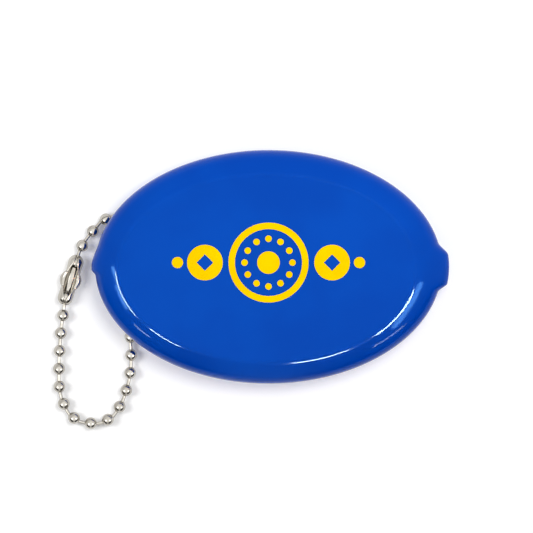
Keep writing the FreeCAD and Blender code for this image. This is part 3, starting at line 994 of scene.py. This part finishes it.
def clasp_radius(sizes, seat, along):
    """Outer radius of the clasp at a distance along it from its middle."""
    radius = sizes.clasp_bore / 2 + sizes.clasp_wall
    past = abs(along) - seat
    if past > 0:
        return math.sqrt(max(radius ** 2 - past ** 2, 0))
    return radius * (1 - sizes.clasp_waist * (1 - (along / seat) ** 2))


def clasp_gap(sizes, along):
    """Half the width of the clasp's opening at a distance along it from its middle."""
    lens = sizes.mouth_width / 2 * (1 - (2 * along / sizes.mouth_length) ** 2)
    return max(lens, sizes.clasp_slit / 2)


def clasp_rows(form, sizes, seat):
    """Rows round the clasp's sheet, each from one edge of the opening to the other."""
    reach = seat + math.sqrt(clasp_radius(sizes, seat, seat) ** 2 - (sizes.end_hole / 2) ** 2)
    rows = []
    for part in fractions(CLASP_STEPS_ALONG):
        along = reach * math.sin(mix(-QUARTER_TURN, QUARTER_TURN, part))
        radius = clasp_radius(sizes, seat, along)
        start = math.asin(min(clasp_gap(sizes, along) / radius, 1))
        turns = [mix(start, FULL_TURN - start, round_part) for round_part in fractions(CLASP_STEPS_AROUND)]
        rows.append([form.verts.new((along, radius * math.sin(turn), radius * math.cos(turn)))
                     for turn in turns])
    return rows


def ear_rows(form, sizes, seat, roots, side):
    """Rows of the ear that stands out from one edge of the clasp's opening."""
    half_ear = sizes.ear_length / 2
    tip = clasp_radius(sizes, seat, 0) + sizes.ear_reach
    rows = []
    for root in roots:
        along, across, up = root.co
        if abs(along) > half_ear:
            continue
        reach = (tip - abs(across)) * (1 - (along / half_ear) ** 2)
        rows.append([root] + [
            form.verts.new((along, side * (abs(across) + reach * part), up - sizes.ear_drop * part ** 2))
            for part in fractions(EAR_STEPS)[1:]])
    return rows


class PURSE_OT_clasp(bpy.types.Operator):
    """Model the pressed clasp that holds both end balls, with its mouth, ears, slit and end holes"""
    bl_idname = "purse.clasp"
    bl_label = "Chain clasp"

    def execute(self, context):
        sizes, finishes = context.scene.chain_sizes, context.scene.purse_finishes
        places = [place for place, way in ball_places()]
        first, last = places[0], places[-1]
        seat = (first - last).length / 2
        form = bmesh.new()
        rows = clasp_rows(form, sizes, seat)
        join_rows(form, rows, closed=False)
        for edge, side in ((0, 1), (-1, -1)):
            roots = [row[edge] for row in rows]
            join_rows(form, ear_rows(form, sizes, seat, roots, side), closed=False)
        mesh = fill_mesh(bpy.data.meshes.new("chain_clasp"), form)
        along_way = (first - last).normalized()
        across_way = Vector((0, 0, 1)).cross(along_way).normalized()
        turned = Matrix((along_way, across_way, along_way.cross(across_way))).transposed().to_4x4()
        mesh.transform(Matrix.Translation((first + last) / 2) @ turned)
        piece = new_piece("chain_clasp", mesh, material_named(CLASP_NICKEL, nickel_material, finishes.nickel))
        sheet = piece.modifiers.new("sheet", "SOLIDIFY")
        sheet.thickness = sizes.clasp_wall
        sheet.offset = -1
        finish_with_modifiers(piece)
        hand_over(piece, "clasp", "nickel", "clasp")
        return {"FINISHED"}


def add_floor(settings):
    """Pale floor that shows as white, keeps the purse's shadow and can be looked through from below."""
    half = settings.floor / 2
    mesh = bpy.data.meshes.new("floor")
    corners = [(-half, -half, 0), (half, -half, 0), (half, half, 0), (-half, half, 0)]
    mesh.from_pydata(corners, [], [(0, 1, 2, 3)])
    floor = add_object("floor", mesh)
    floor.location.z = -settings.floor_gap
    material, tree = new_material(FLOOR)[:2]
    tree.nodes.clear()
    ground = node(tree, "ShaderNodeBsdfDiffuse", {"Color": (*settings.floor_colour, 1)})
    path = node(tree, "ShaderNodeLightPath").outputs
    looked_at = result(tree, "MAXIMUM", path["Is Camera Ray"],
                       result(tree, "MAXIMUM", path["Is Glossy Ray"], path["Is Transmission Ray"]))
    here = node(tree, "ShaderNodeNewGeometry").outputs
    away = node(tree, "ShaderNodeVectorMath", {0: here["Position"]}, operation="LENGTH").outputs["Value"]
    far = soft_step(tree, away, settings.glow_start, settings.glow_end)
    bright = blended(tree, far, settings.floor_glow, settings.far_glow)
    glow = node(tree, "ShaderNodeEmission", {"Strength": result(tree, "MULTIPLY", looked_at, bright)})
    lit = node(tree, "ShaderNodeAddShader", {0: ground.outputs[0], 1: glow.outputs[0]})
    clear = node(tree, "ShaderNodeBsdfTransparent")
    seen = node(tree, "ShaderNodeMixShader", {0: here["Backfacing"], 1: lit.outputs[0], 2: clear.outputs[0]})
    node(tree, "ShaderNodeOutputMaterial", {"Surface": seen.outputs[0]})
    mesh.materials.append(material)


# Where the tent's dark places begin and are full ahead and aside, and where they begin to fade and end
# upwards, as parts of a way of length 1
SHADE_AHEAD, SHADE_ASIDE, SHADE_UP = (0.1, 0.45), (0.02, 0.3), (0.35, 0.78)
# Where the bright top of the tent begins and is full, as the part of a way that goes up
ZENITH_UP = (0.55, 0.95)


def add_room(settings):
    """Even light from all round. Shiny pieces see a white tent with two dark places low in front."""
    scene = bpy.context.scene
    world = scene.world or bpy.data.worlds.new("room")
    scene.world = world
    world.use_nodes = True
    tree = world.node_tree
    tree.nodes.clear()
    place = node(tree, "ShaderNodeTexCoord").outputs["Generated"]
    way = node(tree, "ShaderNodeSeparateXYZ", {0: place}).outputs
    ahead = soft_step(tree, result(tree, "MULTIPLY", way["Y"], -1.0), *SHADE_AHEAD)
    aside = soft_step(tree, result(tree, "ABSOLUTE", way["X"]), *SHADE_ASIDE)
    low = result(tree, "SUBTRACT", 1.0, soft_step(tree, way["Z"], *SHADE_UP))
    dark = result(tree, "MULTIPLY", result(tree, "MULTIPLY", ahead, aside), low)
    above = soft_step(tree, way["Z"], *ZENITH_UP)
    tent = blended(tree, above, settings.tent_light, settings.zenith_light)
    shown = blended(tree, dark, tent, settings.front_shade)
    path = node(tree, "ShaderNodeLightPath").outputs
    light = blended(tree, path["Is Glossy Ray"], settings.room_light, shown)
    seen = blended(tree, path["Is Camera Ray"], light, 1.0)
    back = node(tree, "ShaderNodeBackground", {"Color": (1, 1, 1, 1), "Strength": seen})
    node(tree, "ShaderNodeOutputWorld", {"Surface": back.outputs[0]})


def sky_place(distance, turn, rise):
    """A place round the purse, at a distance, a direction and a height given as angles."""
    flat = distance * math.cos(rise)
    return Vector((flat * math.cos(turn), flat * math.sin(turn), distance * math.sin(rise)))


def add_lamp(name, size, width, place, radiance, lean=0.0):
    """An area lamp that points at the middle of the purse, with the given brightness of its face."""
    lamp = bpy.data.lights.new(name, "AREA")
    lamp.shape = "RECTANGLE"
    lamp.size, lamp.size_y = size, width
    lamp.energy = radiance * math.pi * size * width
    made = add_object(name, lamp)
    made.location = place
    made.rotation_euler = (place.to_track_quat("Z", "Y") @ Quaternion((0, 0, 1), lean)).to_euler()
    return made


# Bar lamps: first and last direction and height in degrees, width as a share of the lamp distance,
# brightness as a share of the brightest, colour, and lean in degrees, which lifts the last end
WHITE, WARM = (1, 1, 1), (1, 0.45, 0.25)
BAR_LAMPS = {
    "bar_left": (189.0, 224.0, 46, 0.10, 1.0, WARM, 0),
    "bar_lower_left": (232.0, 245.0, 45, 0.10, 1.0, WARM, 0),
    "bar_lower": (275.8, 292.0, 44, 0.12, 1.0, WARM, 0),
    "bar_right": (303.0, 336.5, 50.4, 0.19, 1.0, WARM, 0),
    "soft_left": (183.0, 199.0, 37.2, 0.030, 0.06, WHITE, 3),
    "soft_lower_left": (199.0, 217.0, 35.6, 0.030, 0.06, WHITE, -6),
    "soft_right": (310.0, 344.0, 39.4, 0.036, 0.055, WHITE, 13),
    "low_left": (225.8, 234.4, 30, 0.022, 0.18, WARM, 0),
    "low_right": (299.6, 316.0, 30, 0.022, 0.18, WARM, 0),
}
# Lamps that light only the metal: direction and height in degrees, size as a share of the lamp distance,
# and brightness
GLINT_LAMPS = {
    "glint_left": (205, 47, 0.50, 2.6),
    "glint_right": (335, 47, 0.50, 2.6),
}


def pieces_of(*materials):
    """A collection of all pieces of some materials, for a lamp that lights or is shaded by only them."""
    pieces = bpy.data.collections.new("pieces_of_" + materials[0])
    for piece in bpy.context.scene.objects:
        if piece.active_material and piece.active_material.name in materials:
            pieces.objects.link(piece)
    return pieces


def add_soft_lamp(settings, name, distance, turn, rise, light):
    """A soft lamp that gives a flat place under it a certain light and doesn't show in the gloss."""
    size = settings.softness * distance
    lit_share = settings.softness ** 2 * math.sin(rise) / math.pi
    lamp = add_lamp(name, size, size, sky_place(distance, turn, rise), light / lit_share)
    lamp.visible_glossy = False
    return lamp


def add_lamps(settings):
    """Bar lamps that show as lines in the purse's border, glints for the metal, and four soft lamps."""
    border = bpy.data.collections.new("border")
    border.objects.link(bpy.data.objects["purse_skin"])
    for name, (first, last, height, width, bright, tone, lean) in BAR_LAMPS.items():
        middle, rise = math.radians((first + last) / 2), math.radians(height)
        place = sky_place(settings.bar_distance, middle, rise)
        size = 2 * settings.bar_distance * math.cos(rise) * math.tan(math.radians(last - first) / 2)
        lamp = add_lamp(name, size, width * settings.bar_distance, place, bright * settings.bar_strength,
                        math.radians(lean))
        lamp.data.color = tone
        lamp.visible_diffuse = False
        lamp.light_linking.receiver_collection = border
    for name, (turn, height, size, bright) in GLINT_LAMPS.items():
        place = sky_place(settings.bar_distance, math.radians(turn), math.radians(height))
        size *= settings.bar_distance
        lamp = add_lamp(name, size, size, place, bright)
        lamp.visible_diffuse = False
        lamp.light_linking.receiver_collection = pieces_of(*METALS)
    add_soft_lamp(settings, "soft_key", settings.key_distance, settings.key_turn, settings.key_rise,
                  settings.key_light)
    purse_lamp = add_soft_lamp(settings, "purse_lamp", settings.purse_distance, settings.purse_turn,
                               settings.purse_rise, settings.purse_light)
    purse_fill = add_soft_lamp(settings, "purse_fill", settings.key_distance, settings.chain_turn,
                               settings.chain_rise, settings.purse_fill)
    for lamp in (purse_lamp, purse_fill):
        lamp.light_linking.receiver_collection = pieces_of(VINYL, INK)
    chain_lamp = add_soft_lamp(settings, "chain_lamp", settings.key_distance, settings.chain_turn,
                               settings.chain_rise, settings.chain_light)
    chain_lamp.light_linking.receiver_collection = pieces_of(FLOOR, *METALS)
    chain_lamp.light_linking.blocker_collection = pieces_of(*METALS)


def add_camera(settings):
    """The camera, almost straight above the purse."""
    camera = bpy.data.cameras.new("camera")
    camera.lens = settings.lens / MM
    camera.sensor_width = settings.film / MM
    camera.clip_start, camera.clip_end = 0.01, 20
    made = add_object("camera", camera)
    distance = settings.view_width * settings.lens / settings.film
    aim = Vector((settings.aim_x, settings.aim_y, bpy.context.scene.purse_sizes.rim_height))
    made.location = aim + distance * Vector((0, math.sin(settings.tilt), math.cos(settings.tilt)))
    made.rotation_euler = (-settings.tilt, 0, 0)
    bpy.context.scene.camera = made


class PURSE_OT_stage(bpy.types.Operator):
    """Set up the floor, the light and the camera"""
    bl_idname = "purse.stage"
    bl_label = "Stage"

    def execute(self, context):
        settings = context.scene.purse_stage
        context.scene.view_settings.view_transform = "Standard"
        add_floor(settings)
        add_room(settings)
        add_lamps(settings)
        add_camera(settings)
        return {"FINISHED"}


OPERATORS = (PURSE_OT_shell, PURSE_OT_lug, PURSE_OT_lips, PURSE_OT_print, PURSE_OT_balls, PURSE_OT_pins,
             PURSE_OT_clasp, PURSE_OT_stage)


class PURSE_PT_panel(bpy.types.Panel):
    """Lists the steps that build the purse and the sizes that they use"""
    bl_idname = "PURSE_PT_panel"
    bl_label = "Coin Purse"
    bl_space_type = "VIEW_3D"
    bl_region_type = "UI"
    bl_category = "Coin Purse"

    def draw(self, context):
        for operator in OPERATORS:
            self.layout.operator(operator.bl_idname)
        for name, group in SETTINGS.items():
            box = self.layout.box()
            for size in group.__annotations__:
                box.prop(getattr(context.scene, name), size)


CLASSES = (*SETTINGS.values(), *OPERATORS, PURSE_PT_panel)


def register():
    """Registers the classes and puts the settings on the scene."""
    for entry in CLASSES:
        bpy.utils.register_class(entry)
    for name, group in SETTINGS.items():
        setattr(bpy.types.Scene, name, bpy.props.PointerProperty(type=group))


def unregister():
    """Takes the settings off the scene and unregisters the classes."""
    for name in SETTINGS:
        delattr(bpy.types.Scene, name)
    for entry in reversed(CLASSES):
        bpy.utils.unregister_class(entry)


def main():
    """Builds every piece and the stage."""
    register()
    for operator in OPERATORS:
        group, name = operator.bl_idname.split(".")
        getattr(getattr(bpy.ops, group), name)()


if __name__ == "__main__":
    main()
